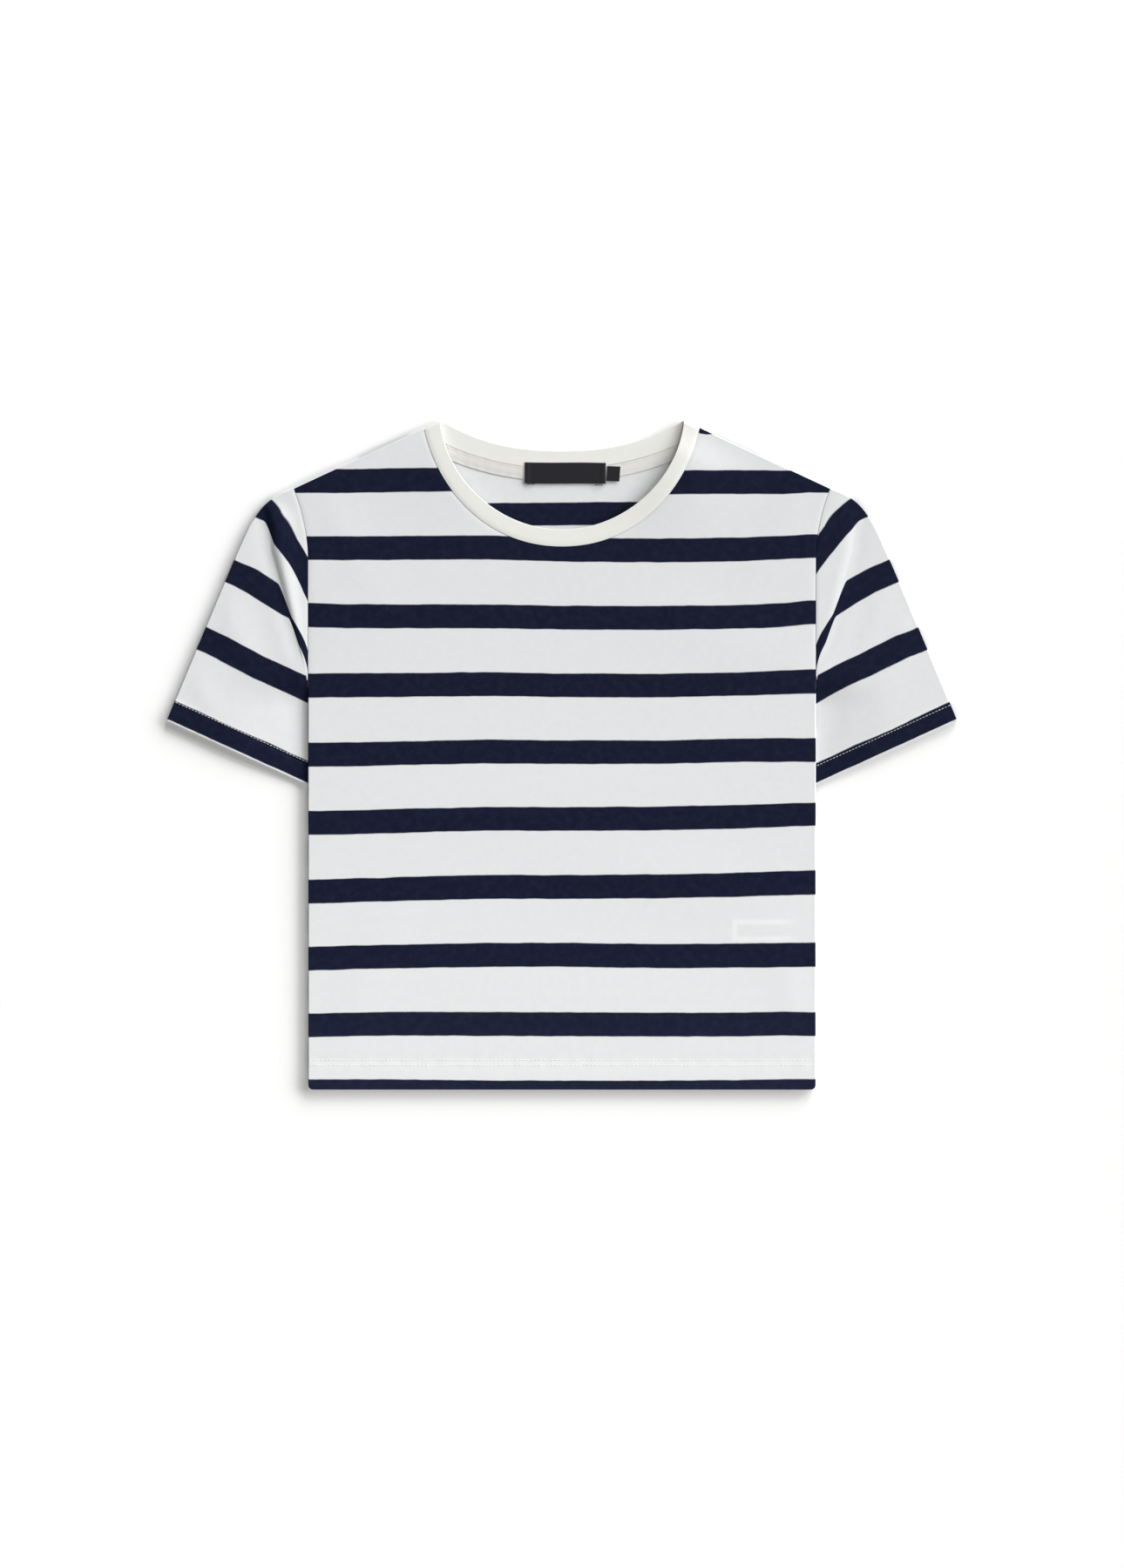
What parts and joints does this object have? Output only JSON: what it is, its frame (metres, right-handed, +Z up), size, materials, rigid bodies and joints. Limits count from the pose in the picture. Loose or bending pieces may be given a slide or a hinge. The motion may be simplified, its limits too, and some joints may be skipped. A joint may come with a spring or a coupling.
{
  "type": "crop top",
  "caption": "Short-sleeved cropped T-shirt in striped jersey, laid flat on its back with a round ribbed neckband.",
  "frame": {"origin": "centre of the garment's outline on the surface that it lies on", "axes": "+X from one sleeve to the other, to the right as it is looked at, +Y from the hem to the neck, +Z up through the cloth"},
  "size_m": [0.61, 0.516, 0.006],
  "materials": {
    "jersey": "matte knitted cotton, off-white with navy stripes",
    "rib": "matte ribbed cotton, off-white",
    "tape": "matte jersey tape, off-white",
    "label": "black satin weave",
    "care_tape": "thin white satin"
  },
  "bodies": {
    "root": {"front": "jersey", "back": "jersey", "sleeve_left": "jersey", "sleeve_right": "jersey", "neckband": "rib", "neck_tape": "tape", "main_label": "label", "size_label": "label", "care_label": "care_tape"}
  },
  "joints": []
}
